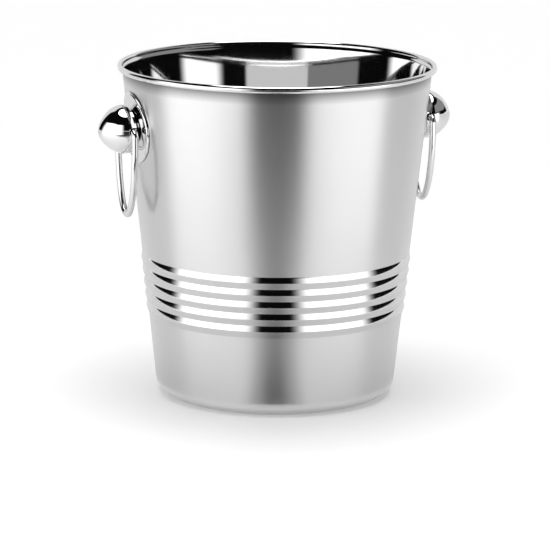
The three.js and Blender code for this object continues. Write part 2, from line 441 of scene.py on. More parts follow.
def linked(name: str, data: bpy.types.Mesh | bpy.types.Camera) -> bpy.types.Object:
    """Makes an object and links it to the scene.

    Args:
        name: the object's name.
        data: its mesh or camera.

    Returns:
        The object.
    """
    made = bpy.data.objects.new(name, data)
    bpy.context.scene.collection.objects.link(made)
    return made


def closed_mesh(
    name: str, grid: np.ndarray, ends: Ends, finishes: np.ndarray | None = None
) -> bpy.types.Object:
    """A closed mesh with its faces outwards, from a grid whose second direction runs round.

    The faces are turned over where the solid's volume, the sum of its corner triple products, comes
    out below zero.

    Args:
        name: the new object's name.
        grid: points in metres, with rows along the outline and columns round it.
        ends: how the first and last rows are closed.
        finishes: the number of the finish of each stretch between two rows, where there is a choice.

    Returns:
        The new object, linked to the scene.
    """
    rows, columns = grid.shape[:2]
    numbers = np.arange(rows * columns).reshape(rows, columns)
    points = grid.reshape(-1, 3)
    if ends is Ends.POLES:
        numbers[0] = 0
        numbers[1:-1] = 1 + np.arange((rows - 2) * columns).reshape(rows - 2, columns)
        numbers[-1] = 1 + (rows - 2) * columns
        points = np.concatenate([grid[0, :1], grid[1:-1].reshape(-1, 3), grid[-1, :1]])
        first, second = numbers[:-1], numbers[1:]
    else:
        first, second = numbers, np.roll(numbers, -1, axis=0)
    quads = np.stack([first, np.roll(first, -1, axis=1), np.roll(second, -1, axis=1), second], axis=2)
    a, b, c, d = (points[quads[..., corner]] for corner in range(4))
    if np.sum(a * np.cross(b, c)) + np.sum(a * np.cross(c, d)) < 0:
        quads = quads[..., ::-1]
    faces = [list(dict.fromkeys(face)) for face in quads.reshape(-1, 4).tolist()]
    mesh = bpy.data.meshes.new(name)
    mesh.from_pydata(points.tolist(), [], faces)
    mesh.shade_smooth()
    if finishes is not None:
        mesh.polygons.foreach_set("material_index", np.repeat(finishes, columns).astype(np.int32))
    return linked(name, mesh)


def vertices_of(piece: bpy.types.Object) -> np.ndarray:
    """Reads a piece's points.

    Args:
        piece: the piece.

    Returns:
        The points in metres, one a row.
    """
    flat = np.empty(len(piece.data.vertices) * 3)
    piece.data.vertices.foreach_get("co", flat)
    return flat.reshape(-1, 3)


def write_lie(piece: bpy.types.Object, lie: np.ndarray) -> None:
    """Writes three numbers for each point, of which the third runs across a steel finish's lines."""
    attribute = piece.data.attributes.new("lie", "FLOAT_VECTOR", "POINT")
    attribute.data.foreach_set("vector", lie.astype(np.float32).ravel())


def cut(piece: bpy.types.Object, tool: bpy.types.Object, sharp: float) -> None:
    """Takes the tool out of the piece, and leaves no modifier and no tool behind.

    Args:
        piece: the piece to cut.
        tool: a closed mesh.
        sharp: the angle in degrees above which an edge is shaded as an edge.
    """
    modifier = piece.modifiers.new("cut", "BOOLEAN")
    modifier.operation = "DIFFERENCE"
    modifier.solver = "EXACT"
    modifier.object = tool
    graph = bpy.context.evaluated_depsgraph_get()
    done = bpy.data.meshes.new_from_object(piece.evaluated_get(graph))
    piece.modifiers.clear()
    piece.data = done
    done.name = piece.name
    done.set_sharp_from_angle(angle=math.radians(sharp))
    bpy.data.objects.remove(tool)


def mount(piece: bpy.types.Object, body: str, slot: Slot, node: str, *finishes: Steel | Nylon) -> None:
    """Gives a finished mesh its materials and its body, and hides the CAD node that it stands for.

    Args:
        piece: the piece.
        body: the CAD body that it rides on.
        slot: the record's slot of its finish; not used.
        node: the CAD node that it replaces.
        finishes: its finishes, in the order of the numbers on its faces.
    """
    for finish in finishes:
        piece.data.materials.append(bpy.data.materials.get(finish.name) or finish.material())
    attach(piece, body)
    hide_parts(node)
    LOG.info("%s: %d faces on %s", piece.name, len(piece.data.polygons), body)


# ---- The shell ----------------------------------------------------------------------------------


class Face(Enum):
    """Which finish a stretch of the shell's outline has, as its number on the faces."""

    SATIN = 0
    MIRROR = 1
    INSIDE = 2


@dataclass
class Shell:
    """The drawn bucket: tapered wall, rolled rim, five reeds, rounded corner and pushed-up bottom."""

    height: float
    rim_radius: float
    roll: float = 1.5
    roll_stretch: float = 1.35
    throat: float = 4.8
    foot_wall_radius: float = 74.7
    sheet: float = 1.0
    corner: float = 11.0
    foot_width: float = 9.0
    recess: float = 1.5
    recess_slope: float = 2.5
    reed_count: int = 5
    reed_pitch: float = 7.8
    reed_height: float = 1.18
    reed_top: float = 90.5
    reed_crest: float = 0.47
    reed_swell: float = 0.22
    reed_margin: float = 0.3
    band_low: float = 6.0
    wall_rows: int = 26
    under_ease: float = 0.6
    bead_start: float = -150.0
    bead_steps: int = 33
    crease_rows: tuple[float, ...] = (0.4, 0.06)
    # How far down and how dark the painted shade on the satin below the rolled rim is.
    painted_shade_reach: float = 0.0075
    painted_shade_depth: float = 0.72
    throat_pull: float = 0.4
    sharp: float = 35.0
    columns: int = 240
    outline: list = field(default_factory=list)
    finishes: list = field(default_factory=list)

    @property
    def roll_centre(self) -> tuple[float, float]:
        """The middle of the rolled rim, as (radius, height)."""
        return self.rim_radius - self.roll, self.height - self.roll

    @property
    def taper(self) -> float:
        """The wall's lean from upright, in radians."""
        radius, height = self.roll_centre
        return math.atan((radius - self.roll + self.sheet / 4 - self.foot_wall_radius) / height)

    def wall(self, height: float | np.ndarray) -> float | np.ndarray:
        """The outside of the plain wall: its radius at the floor plus height times the lean."""
        return self.foot_wall_radius + math.tan(self.taper) * height

    @property
    def reed_low(self) -> float:
        """The height of the lowest edge of the reeds."""
        return self.reed_top - self.reed_pitch * self.reed_count

    def bead(self) -> np.ndarray:
        """The rolled rim, from the crease over the top to the inside.

        Returns:
            The (radius, height) points of a circle that is stretched downwards from the top.
        """
        points = arc(self.roll_centre, self.roll, self.bead_start, 180, self.bead_steps)
        points[:, 1] = self.height - self.roll_stretch * (self.height - points[:, 1])
        return points

    def reeds(self) -> np.ndarray:
        """The outside of the reeds, from the highest edge down.

        A reed's upper face rises along u as height times ((1 + swell) u - swell u squared), a shallow
        crown, and its lower face falls back to the wall in a straight line.

        Returns:
            The radius, the height and the finish's number of each point, as three columns.
        """
        rising = np.array([0.0, 0.02, 0.15, 0.3, 0.45, 0.6, 0.75, 0.88, 0.98])
        falling = np.array([0.0, 0.02, 0.25, 0.5, 0.75, 0.98])
        up = (1 + self.reed_swell) * rising - self.reed_swell * rising**2
        share = np.concatenate([self.reed_crest * rising, self.reed_crest + (1 - self.reed_crest) * falling])
        relief = np.concatenate([up, 1 - falling]) * self.reed_height
        face = np.concatenate([
            np.full(len(rising), Face.MIRROR.value),
            np.full(len(falling), Face.SATIN.value),
        ])
        starts = self.reed_top - self.reed_pitch * np.arange(self.reed_count)
        heights = np.append((starts[:, None] - self.reed_pitch * share).ravel(), self.reed_low)
        relief = np.append(np.tile(relief, self.reed_count), 0.0)
        face = np.append(np.tile(face, self.reed_count), Face.SATIN.value)
        return np.stack([self.wall(heights) + relief, heights, face], axis=1)

    def lay(self, points: np.ndarray, face: Face) -> None:
        """Adds (radius, height) points to the outline; the stretches that end at them get the finish."""
        self.outline.extend(points.tolist())
        self.finishes.extend([face.value] * len(points))

    def draw(self) -> None:
        """Draws the outline from the middle of the underside, up the outside and down the inside."""
        lean = math.degrees(self.taper)
        across = self.sheet / math.cos(self.taper)
        corner = (self.wall(self.corner) - self.corner / math.cos(self.taper), self.corner)
        foot = corner[0] - self.foot_width
        step = (foot - self.recess_slope, self.recess)
        chain = [(0.0, self.recess), step, (foot, 0.0), (corner[0] - 1, 0.0)]
        under = eased(chain, self.under_ease)
        over = under[::-1] + np.array([0.0, self.sheet])
        reeds = self.reeds()
        inset = reeds[:, :2] - np.array([across, 0.0])
        plain = np.linspace(reeds[0, 1] + self.reed_margin, self.height - self.throat, self.wall_rows)
        low = np.array([self.reed_low - self.reed_margin, self.reed_low - self.band_low])
        self.lay(under, Face.SATIN)
        self.lay(arc(corner, self.corner, -90, -lean, 16), Face.SATIN)
        self.lay(np.stack([self.wall(low), low], axis=1)[::-1], Face.SATIN)
        self.outline.extend(reeds[::-1, :2].tolist())
        self.finishes.extend(reeds[::-1, 2].tolist())
        self.lay(np.stack([self.wall(plain), plain], axis=1), Face.SATIN)
        bead = self.bead()
        crease = bead[0, 1] - np.array(self.crease_rows)
        self.lay(np.stack([self.wall(crease), crease], axis=1), Face.SATIN)
        self.lay(bead, Face.MIRROR)
        throat = self.height - self.throat
        flare = np.array([self.wall(throat) - across, throat])
        edge = bead[-1]
        drop = np.array([0.0, self.throat_pull * (edge[1] - throat)])
        self.lay(curve(edge, edge - drop, flare + drop, flare, 8)[1:], Face.INSIDE)
        self.lay(np.stack([self.wall(plain[:-1]) - across, plain[:-1]], axis=1)[::-1], Face.INSIDE)
        self.lay(inset, Face.INSIDE)
        self.lay(np.stack([self.wall(low) - across, low], axis=1), Face.INSIDE)
        self.lay(arc(corner, self.corner - self.sheet, -lean, -90, 14), Face.INSIDE)
        self.lay(over, Face.INSIDE)

    def build(self, holes: Sequence[bpy.types.Object]) -> None:
        """Makes the shell and drills it.

        Args:
            holes: a closed mesh for each screw hole.
        """
        self.draw()
        grid = turned(np.array(self.outline), self.columns) * MM
        piece = closed_mesh("shell", grid, Ends.POLES, np.array(self.finishes[1:]))
        for hole in holes:
            cut(piece, hole, self.sharp)
        points = vertices_of(piece)
        radius = np.hypot(points[:, 0], points[:, 1])
        write_lie(piece, np.stack([points[:, 0], points[:, 1], points[:, 2] + radius], axis=1))
        # The satin gets painted shade below the rolled rim: darkest at the bead's bottom, fading over the
        # reach below it.
        crease = (self.height - 2 * self.roll * self.roll_stretch) * MM
        satin = replace(
            SATIN, painted_shade_at=crease, painted_shade_reach=self.painted_shade_reach, painted_shade_depth=self.painted_shade_depth
        )
        mount(piece, BODY, Slot.SATIN, "bucket_shell", satin, REED_MIRROR, SPUN_INSIDE)


# ---- The handles --------------------------------------------------------------------------------


class Side(Enum):
    """Which side of the bucket a handle is on, as the sign of X."""

    LEFT = -1
    RIGHT = 1

    def named(self, name: str) -> str:
        """A piece's or node's name on this side."""
        return f"{self.name.lower()}_{name}"


@dataclass
class Place:
    """Where a handle is: X runs out along the wall's normal at the mounting hole, and Z up the wall."""

    side: Side
    radius: float
    height: float
    lean: float

    def __call__(self, points: np.ndarray) -> np.ndarray:
        """Takes points in the handle's millimetres to metres on the bucket.

        The handle is tipped down by the wall's lean, moved out to the hole and, on the left, turned
        half round.

        Args:
            points: any array whose last axis is X, Y, Z.

        Returns:
            The same array in place.
        """
        out, across, up = points[..., 0], points[..., 1], points[..., 2]
        reach = self.radius + out * math.cos(self.lean) + up * math.sin(self.lean)
        rise = self.height - out * math.sin(self.lean) + up * math.cos(self.lean)
        sign = self.side.value
        return np.stack([sign * reach, sign * across, rise], axis=-1) * MM

    def turned(self, outline: np.ndarray, columns: int) -> np.ndarray:
        """The grid in place of an outline of (radius, distance out) points about the handle's X."""
        return self(np.roll(turned(outline, columns), 1, axis=2))

    def rod(self, name: str, radius: float, start: float, stop: float, columns: int = 48) -> bpy.types.Object:
        """A plain cylinder along the handle's X between two places on it, to cut with."""
        outline = np.array([(0.0, start), (radius, start), (radius, stop), (0.0, stop)])
        return closed_mesh(name, self.turned(outline, columns), Ends.POLES)

    def dress(self, piece: bpy.types.Object, slot: Slot, node: str, finish: Steel | Nylon) -> None:
        """Finishes a turned piece; its lie is across, up, and out plus the distance from the handle's X.

        Args:
            piece: the piece, which rides on the bucket.
            slot: the record's slot of its finish.
            node: the CAD node that it replaces, without the side.
            finish: its finish.
        """
        points = vertices_of(piece)
        sign = self.side.value
        reach = points[:, 0] * sign - self.radius * MM
        rise = points[:, 2] - self.height * MM
        out = reach * math.cos(self.lean) - rise * math.sin(self.lean)
        up = reach * math.sin(self.lean) + rise * math.cos(self.lean)
        across = points[:, 1] * sign
        write_lie(piece, np.stack([across, up, out + np.hypot(across, up)], axis=1))
        mount(piece, BODY, slot, self.side.named(node), finish)


@dataclass
class Escutcheon:
    """A round polished plate pressed to the wall, with a rolled edge and a low cone for the knob."""

    place: Place
    radius: float = 22.4
    gap: float = 0.3
    sheet: float = 1.0
    boss_radius: float = 9.5
    boss_foot: float = 13.5
    boss_top: float = 1.6
    hole: float = 2.8
    edge: float = 0.7
    roll_lift: float = 0.42
    edge_fall: float = 0.75
    sharp: float = 50.0
    columns: int = 160

    def wall_drop(self, across: np.ndarray, up: np.ndarray) -> np.ndarray:
        """How far the wall falls away from the plane that touches it at the hole.

        The wall's section is a circle whose radius grows up the taper: radius minus the square root
        of radius squared less the distance across squared.

        Args:
            across: distance along Y.
            up: distance up the wall.

        Returns:
            The drop, in millimetres.
        """
        lean = self.place.lean
        radius = (self.place.radius + up * math.sin(lean)) / math.cos(lean)
        return radius - np.sqrt(radius**2 - across**2)

    def build(self) -> None:
        """Makes the plate from two surfaces over the same disc.

        The upper one goes from the level top of the cone to the sheet over the wall, through a smooth
        step in the distance from the middle, and swells to a roll at the edge. The lower one follows
        the wall.
        """
        shoulder = self.radius - 2 * self.edge
        inner = np.linspace(self.hole, self.boss_radius, 8)
        slope = np.linspace(self.boss_radius, self.boss_foot, 10)[1:]
        plain = np.linspace(self.boss_foot, shoulder, 9)[1:]
        bead = arc((self.radius - self.edge, 0.0), self.edge, 180, 0, 18)[1:]
        radii = np.concatenate([inner, slope, plain, bead[:, 0]])
        swell = np.concatenate([np.zeros(len(radii) - len(bead)), bead[:, 1]])
        angles = even_angles(self.columns)
        across, up = radii[:, None] * np.cos(angles), radii[:, None] * np.sin(angles)
        drop = self.wall_drop(across, up)
        t = np.clip((radii - self.boss_radius) / (self.boss_foot - self.boss_radius), 0, 1)[:, None]
        level = 1 - smooth(t)
        thick = self.gap + self.sheet
        lift = np.where(swell > 0, swell * self.roll_lift, 0.0)[:, None]
        upper = level * self.boss_top + (1 - level) * (thick - drop) + lift
        falling = np.clip((radii - (self.radius - self.edge)) / self.edge, 0, 1)[:, None]
        upper = upper - (self.sheet * self.edge_fall) * (1 - np.sqrt(1 - falling**2))
        lower = self.gap - drop[::-1] + 0 * upper
        top = np.stack([upper, across, up], axis=2)
        bottom = np.stack([lower, across[::-1], up[::-1]], axis=2)
        name = self.place.side.named("escutcheon_plate")
        piece = closed_mesh(name, self.place(np.concatenate([top, bottom])), Ends.LOOP)
        piece.data.set_sharp_from_angle(angle=math.radians(self.sharp))
        self.place.dress(piece, Slot.POLISHED, "escutcheon", MIRROR)


@dataclass
class Knob:
    """A turned squat ball with a blunt conical nose, bored across for the wire, tapped at the back."""

    place: Place
    back: float = 1.9
    length: float = 21.4
    back_radius: float = 12.2
    belly: float = 15.3
    belly_at: float = 5.1
    shoulder: float = 13.4
    shoulder_at: float = 11.7
    nose_lean: float = 27.0
    nose_swell: float = 3.5
    nose_blunt: float = 5.4
    bore_at: float = 5.0
    bore: float = 2.7
    screw_hole: float = 2.8
    screw_depth: float = 12.8
    back_corner: float = 0.9
    ease: float = 0.25
    swell_pull: tuple[float, float] = (1.0, 1.0)
    swell_push: float = 2.0
    fall_pull: float = 2.6
    fall_push: float = 2.2
    sharp: float = 32.0
    columns: int = 144

    def outline(self) -> np.ndarray:
        """The half section, from the bottom of the tapped hole out over the back and down the nose.

        The belly is two curves that meet level at the widest place. The nose leaves the shoulder at
        the nose's lean and ends square to the axis, so that it is a rounded cone with a blunt tip.

        Returns:
            (radius, distance out) points.
        """
        hole, corner = self.screw_hole, self.back_corner
        chain = [(0.0, self.screw_depth), (hole, self.screw_depth), (hole, 0.0)]
        rear = eased([*chain, (self.back_radius, 0.0), (self.back_radius + corner, corner)], self.ease)
        start = rear[-1]
        widest = (self.belly, self.belly_at)
        level = (self.belly, self.belly_at - self.swell_push)
        swell = curve(start, start + np.array(self.swell_pull), level, widest, 18)
        lean = math.radians(self.nose_lean)
        slope = np.array([-math.sin(lean), math.cos(lean)])
        shoulder = np.array([self.shoulder, self.shoulder_at])
        level = (self.belly, self.belly_at + self.fall_pull)
        fall = curve(widest, level, shoulder - slope * self.fall_push, shoulder, 16)
        tip = (0.0, self.length)
        nose = curve(shoulder, shoulder + slope * self.nose_swell, (self.nose_blunt, self.length), tip, 36)
        return np.concatenate([rear, swell[1:], fall[1:], nose[1:]]) + np.array([0.0, self.back])

    def build(self) -> None:
        """Turns the knob and bores it; the outline's ends are put exactly on the axis."""
        outline = self.outline()
        outline[0, 0] = 0.0
        outline[-1, 0] = 0.0
        name = self.place.side.named("knob_turned")
        piece = closed_mesh(name, self.place.turned(outline, self.columns), Ends.POLES)
        reach = 2 * self.belly
        rod = turned(np.array([(0.0, -reach), (self.bore, -reach), (self.bore, reach), (0.0, reach)]), 64)
        rod = rod[..., [0, 2, 1]] + np.array([self.bore_at, 0.0, 0.0])
        cut(piece, closed_mesh("bore", self.place(rod), Ends.POLES), self.sharp)
        self.place.dress(piece, Slot.POLISHED, "knob", MIRROR)


@dataclass
class Ring:
    """The bow of round wire: two ends in the bore, two tight bends, straight sides and an oval bow."""

    side: Side
    hinge: tuple[float, float, float]
    wire: float = 2.1
    drop: float = 53.8
    oval: float = 45.8
    bend: float = 3.2
    half_width: float = 17.8
    end: float = 3.6
    chamfer: float = 0.25
    columns: int = 28

    def path(self) -> np.ndarray:
        """The middle of the wire about the hinge, in the plane of Y and Z.

        Returns:
            Points with X = 0, from one end to the other, close together all the way.
        """
        top = self.oval - self.drop
        inner = self.half_width - self.bend
        lead = np.stack([np.linspace(self.end, inner, 14), np.zeros(14)], axis=1)
        bend = arc((inner, -self.bend), self.bend, 90, 0, 14)[1:]
        sides = np.stack([np.full(9, self.half_width), np.linspace(-self.bend, top, 9)], axis=1)[1:]
        angles = np.linspace(0.0, -math.pi / 2, 60)[1:]
        bow = np.stack([self.half_width * np.cos(angles), top + self.oval * np.sin(angles)], axis=1)
        half = np.concatenate([lead, bend, sides, bow])
        whole = np.concatenate([half, half[-2::-1] * np.array([-1.0, 1.0])])
        return np.concatenate([np.zeros((len(whole), 1)), whole], axis=1)

    def build(self) -> None:
        """Bends the wire, breaks the corners of its cut ends and lets its lines run along it."""
        path = self.path()
        first, last = path[0], path[-1]
        step = np.array([0.0, self.chamfer, 0.0])
        cone = np.array([0.0, self.wire - self.chamfer, self.wire])
        radii = np.concatenate([cone, np.full(len(path) - 2, self.wire), cone[::-1]])
        path = np.concatenate([[first, first], [first + step], path[1:-1], [last - step], [last, last]])
        sign = self.side.value
        grid = (self.carry(path, radii) * np.array([sign, sign, 1.0]) + np.array(self.hinge)) * MM
        piece = closed_mesh(self.side.named("ring_wire"), grid, Ends.POLES)
        lengths = np.concatenate([[0.0], np.cumsum(np.linalg.norm(np.diff(path, axis=0), axis=1))]) * MM
        lie = turned(np.stack([np.full(len(lengths), self.wire * MM), lengths], axis=1), self.columns)
        write_lie(piece, np.concatenate([lie[0, :1], lie[1:-1].reshape(-1, 3), lie[-1, :1]]))
        mount(piece, self.side.named("handle"), Slot.WIRE, self.side.named("ring"), WIRE)

    def carry(self, path: np.ndarray, radii: np.ndarray) -> np.ndarray:
        """The wire's grid; the doubled points at its ends borrow their neighbour's direction.

        Args:
            path: the middle of the wire, with each end three times.
            radii: the radius at each point.

        Returns:
            A grid of points about the hinge.
        """
        core = swept(path[1:-1], radii[1:-1], self.columns)
        ends = np.repeat(path[[0, -1]][:, None, :], self.columns, axis=1)
        return np.concatenate([ends[:1], core, ends[1:]])


@dataclass
class Fixing:
    """The screw that holds the knob from inside, with its spring, backing and seal washers."""

    place: Place
    seal_face: float
    gap: float = 0.3
    hole: float = 2.8
    washer_radius: float = 7.0
    seal: float = 1.0
    backing: float = 1.2
    spring: float = 1.2
    spring_radius: float = 4.4
    split: float = 1.0
    shank: float = 2.5
    thread_pitch: float = 0.8
    thread_depth: float = 0.3
    head: float = 4.75
    head_height: float = 2.8
    length: float = 20.0
    head_side: float = 2.2
    head_ease: float = 0.12
    socket: float = 3.0
    socket_depth: float = 1.6
    thread_start: float = 2.0
    thread_stop: float = 1.0
    split_lean: float = 0.35
    washer_ease: float = 0.14
    washer_columns: int = 72
    washer_sharp: float = 40.0
    screw_sharp: float = 30.0
    columns: int = 48

    def washer(self, kind: str, radius: float, near: float, far: float) -> None:
        """A flat washer with broken corners.

        Args:
            kind: the first word of its names.
            radius: its outside radius.
            near: its face towards the wall.
            far: its other face.
        """
        middle = (self.hole, (near + far) / 2)
        chain = [middle, (self.hole, far), (radius, far), (radius, near), (self.hole, near), middle]
        outline = eased(chain, self.washer_ease, 3)[:-1]
        name = self.place.side.named(f"{kind}_ring")
        piece = closed_mesh(name, self.place.turned(outline, self.washer_columns), Ends.LOOP)
        if kind == "spring":
            cut(piece, self.split_tool(near, far), self.washer_sharp)
        slot, finish = (Slot.NYLON, Nylon()) if kind == "seal" else (Slot.FIXING, TURNED)
        self.place.dress(piece, slot, f"{kind}_washer", finish)

    def split_tool(self, near: float, far: float) -> bpy.types.Object:
        """A thin block that cuts the spring washer through at the top, leaning like the real split.

        Args:
            near: the washer's face towards the wall.
            far: its other face.

        Returns:
            The block as a four-sided turned solid.
        """
        half = self.split / 2 * math.sqrt(2)
        reach = 2 * self.spring_radius
        block = turned(np.array([(0.0, 0.0), (half, 0.0), (half, reach), (0.0, reach)]), 4)
        turn = math.pi / 4
        x = block[..., 0] * math.cos(turn) - block[..., 1] * math.sin(turn)
        y = block[..., 0] * math.sin(turn) + block[..., 1] * math.cos(turn)
        grid = np.stack([x * 3 + (near + far) / 2, y + self.split_lean * x, block[..., 2]], axis=2)
        return closed_mesh("split", self.place(grid), Ends.POLES)

    def screw(self, face: float) -> None:
        """A dome-headed screw with a hexagon socket and a cut thread.

        The thread is a wave along the shank whose phase turns once round for each pitch, so that it
        climbs as a helix: radius less depth times half of one minus the cosine.

        Args:
            face: the underside of the head.
        """
        top = face - self.head_height
        rim = (self.head, top + self.head_side)
        dome = curve((self.head * 0.5, top), (self.head * 0.85, top), (self.head, top + 0.8), rim, 12)
        cap = np.concatenate([[(0.0, top)], [(self.head * 0.3, top)], dome])
        chain = [rim, (self.head, face), (self.shank, face), (self.shank, face + 1.5)]
        under = eased(chain, self.head_ease, 3)[1:]
        stretch = np.arange(face + 1.6, face + self.length - 0.9, self.thread_pitch / 8)
        shank = np.stack([np.full(len(stretch), self.shank), stretch], axis=1)
        end = face + self.length
        tip = np.array([(self.shank - 0.3, end - 0.6), (self.shank - 0.8, end), (0.0, end)])
        grid = turned(np.concatenate([cap, under, shank, tip]), self.columns)
        phase = 2 * math.pi * grid[..., 2] / self.thread_pitch - np.arctan2(grid[..., 1], grid[..., 0])
        on_thread = (grid[..., 2] > face + self.thread_start) & (grid[..., 2] < end - self.thread_stop)
        groove = self.thread_depth * 0.5 * (1 - np.cos(phase)) * on_thread
        radius = np.hypot(grid[..., 0], grid[..., 1])
        shrink = np.where(radius > 0, 1 - groove / np.maximum(radius, 1e-6), 1.0)
        grid = grid * np.stack([shrink, shrink, np.ones_like(shrink)], axis=2)
        name = self.place.side.named("cap_screw")
        piece = closed_mesh(name, self.place(np.roll(grid, 1, axis=2)), Ends.POLES)
        across = self.socket / 2 / math.cos(math.pi / 6)
        socket = self.place.rod("socket", across, top - 1.0, top + self.socket_depth, 6)
        cut(piece, socket, self.screw_sharp)
        self.place.dress(piece, Slot.FIXING, "fixing_screw", TURNED)

    def build(self) -> None:
        """Stacks the washers on the screw, from the wall inwards, with a gap after each."""
        face = self.seal_face
        stack = [
            ("seal", self.washer_radius, self.seal),
            ("backing", self.washer_radius, self.backing),
            ("spring", self.spring_radius, self.spring),
        ]
        for kind, radius, thick in stack:
            self.washer(kind, radius, face, face - thick)
            face = face - thick - self.gap
        self.screw(face)


# ---- The studio ---------------------------------------------------------------------------------


def soft_edge(inside: Signal, soft: float) -> Signal:
    """Nought to one over a width of soft degrees, a half where the radians inside are nought."""
    return (inside / math.radians(soft) + 0.5).clamped()


@dataclass(frozen=True)
class Panel:
    """A lit panel of the studio, by the angles that it covers: bearing is to the right of the lens."""

    bearing: float
    half_width: float
    low: float
    high: float
    strength: float
    soft: float = 2.0
    soft_up: float = 2.0


@dataclass(frozen=True)
class SoftBox:
    """An upright curved light that stands on the floor round the bucket, out of the lens's sight."""

    name: str
    bearing: float
    half_width: float
    radius: float
    height: float
    strength: float
    soft: float


@dataclass
class Studio:
    """The camera, a pale floor, lit panels on the dark, two soft boxes and a black card."""

    bearing: float = -19.5
    elevation: float = 11.31
    distance: float = 2.14
    target_height: float = 0.1046
    lens: float = 221.5
    sensor: float = 36.0
    tip_down: float = 0.796
    pan: float = 0.01
    roll: float = 0.45
    floor_half: float = 9.0
    floor_glow: float = 0.18
    # Where the floor's painted shadow round the bucket starts to fade to white, and how wide that fade is.
    floor_shadow_start: float = 0.1
    floor_shadow_width: float = 0.25
    floor_cloud: float = 0.04
    dark: float = 0.003
    backdrop: float = 1.0
    panels: tuple[Panel, ...] = (
        Panel(180.0, 48.0, -6.0, 50.0, 0.75, 5.0, 5.0),
        Panel(100.0, 50.0, 10.0, 42.0, 0.25, 6.0, 3.0),
        Panel(0.0, 181.0, 66.0, 95.0, 4.4),
    )
    boxes: tuple[SoftBox, ...] = (
        SoftBox("left_softbox", -53.0, 33.0, 0.55, 0.40, 1.5, 9.0),
        SoftBox("right_softbox", 50.5, 30.0, 0.50, 0.22, 1.5, 9.0),
    )
    card_start: float = 0.085
    card_stop: float = 4.0
    card_near: float = 15.0
    card_far: float = 50.0
    card_soft: float = 24.0
    card_depth: float = 0.97
    card_thin: float = 0.5
    card_thin_at: float = 0.26
    card_thin_reach: float = 0.2
    card_all_round: float = 0.26
    card_open_at: float = 0.3
    card_open_reach: float = 0.22
    card_lift: float = 0.0006
    columns: int = 49

    def camera(self) -> None:
        """Puts the camera on its bearing, looking at the bucket and tipped down a little."""
        bearing, elevation = math.radians(self.bearing), math.radians(self.elevation)
        back = Vector((
            math.sin(bearing) * math.cos(elevation),
            -math.cos(bearing) * math.cos(elevation),
            math.sin(elevation),
        ))
        data = bpy.data.cameras.new("camera")
        data.lens = self.lens
        data.sensor_width = self.sensor
        data.clip_start = 0.05
        data.clip_end = 60.0
        made = linked("camera", data)
        facing = back.to_track_quat("Z", "Y").to_matrix().to_4x4()
        tip = Matrix.Rotation(math.radians(-self.tip_down), 4, "X")
        pan = Matrix.Rotation(math.radians(self.pan), 4, "Y")
        roll = Matrix.Rotation(math.radians(self.roll), 4, "Z")
        target = Vector((0.0, 0.0, self.target_height))
        made.matrix_world = Matrix.Translation(target + self.distance * back) @ facing @ tip @ pan @ roll
        bpy.context.scene.camera = made

    def floor(self) -> None:
        """Lays a pale floor with a faint gloss, lit a little from below like a light table."""
        reach = self.floor_half
        mesh = bpy.data.meshes.new("floor")
        corners = [(-reach, -reach, 0.0), (reach, -reach, 0.0), (reach, reach, 0.0), (-reach, reach, 0.0)]
        mesh.from_pydata(corners, [], [(0, 1, 2, 3)])
        made = linked("floor", mesh)
        material = bpy.data.materials.new("pale_floor")
        graph = opened(material)
        place = graph.add("ShaderNodeTexCoord")[3]
        cloud = graph.noise(place, (3.0, 3.0, 3.0), 2.0)
        away = graph.add("ShaderNodeVectorMath", {"operation": "LENGTH"}, {0: place})[0]
        # Painted shadow: the floor's colour is greyer near the bucket and fades to whiter further out.
        stops = [(0.0, (0.86, 0.86, 0.86, 1.0)), (1.0, (0.97, 0.97, 0.97, 1.0))]
        fade = ((away - self.floor_shadow_start) / self.floor_shadow_width).clamped() - self.floor_cloud * cloud
        colour = graph.add("ShaderNodeValToRGB", {"stops": stops}, {"Fac": fade})[0]
        glow = {"Emission Color": WHITE, "Emission Strength": self.floor_glow}
        inputs = {"Base Color": colour, "Roughness": 0.5, "Specular IOR Level": 0.1, **glow}
        graph.surface(graph.add("ShaderNodeBsdfPrincipled", {}, inputs)[0])
        mesh.materials.append(material)

    def sector(self, name: str, bearing: float, half_width: float, rings: np.ndarray) -> bpy.types.Object:
        """A strip of a turned surface: rings of (radius, height) over even angles about a bearing.

        Args:
            name: the object's name.
            bearing: the middle of the strip, to the right of the lens, in degrees.
            half_width: how far it reaches each way, in degrees.
            rings: its rows, in metres.

        Returns:
            The strip, which the lens does not see.
        """
        angles = np.radians(self.bearing + bearing + np.linspace(-half_width, half_width, self.columns))
        radius, height = rings[:, :1], rings[:, 1:]
        grid = np.stack([radius * np.sin(angles), -radius * np.cos(angles), height + 0 * angles], axis=2)
        numbers = np.arange(len(rings) * self.columns).reshape(len(rings), self.columns)
        quads = np.stack([numbers[:-1, :-1], numbers[:-1, 1:], numbers[1:, 1:], numbers[1:, :-1]], axis=2)
        mesh = bpy.data.meshes.new(name)
        mesh.from_pydata(grid.reshape(-1, 3).tolist(), [], quads.reshape(-1, 4).tolist())
        made = linked(name, mesh)
        made.visible_camera = False
        made.visible_shadow = False
        return made

    @staticmethod
    def cover(made: bpy.types.Object, share: Callable[[Signal, Signal], Signal], kind: str,
              inputs: dict) -> None:
        """Gives a strip a material that is solid where a share of its place says so, and clear elsewhere.

        Args:
            made: the strip.
            share: takes X and Y, and returns how solid the strip is there, from 0 to 1.
            kind: the type of the solid part's shader node.
            inputs: that node's inputs.
        """
        material = bpy.data.materials.new(made.name)
        graph = opened(material)
        x, y, _ = graph.place()
        solid = graph.add(kind, {}, inputs)[0]
        clear = graph.add("ShaderNodeBsdfTransparent")[0]
        graph.surface(graph.add("ShaderNodeMixShader", {}, {0: share(x, y), 1: clear, 2: solid})[0])
        made.data.materials.append(material)

    def apart(self, x: Signal, y: Signal, bearing: float) -> Signal:
        """The radians from 0 to pi between (x, y)'s bearing and another, as the arc cosine of a cosine."""
        turn = x.math("ARCTAN2", -1.0 * y) - math.radians(self.bearing + bearing)
        return turn.math("COSINE").math("ARCCOSINE")

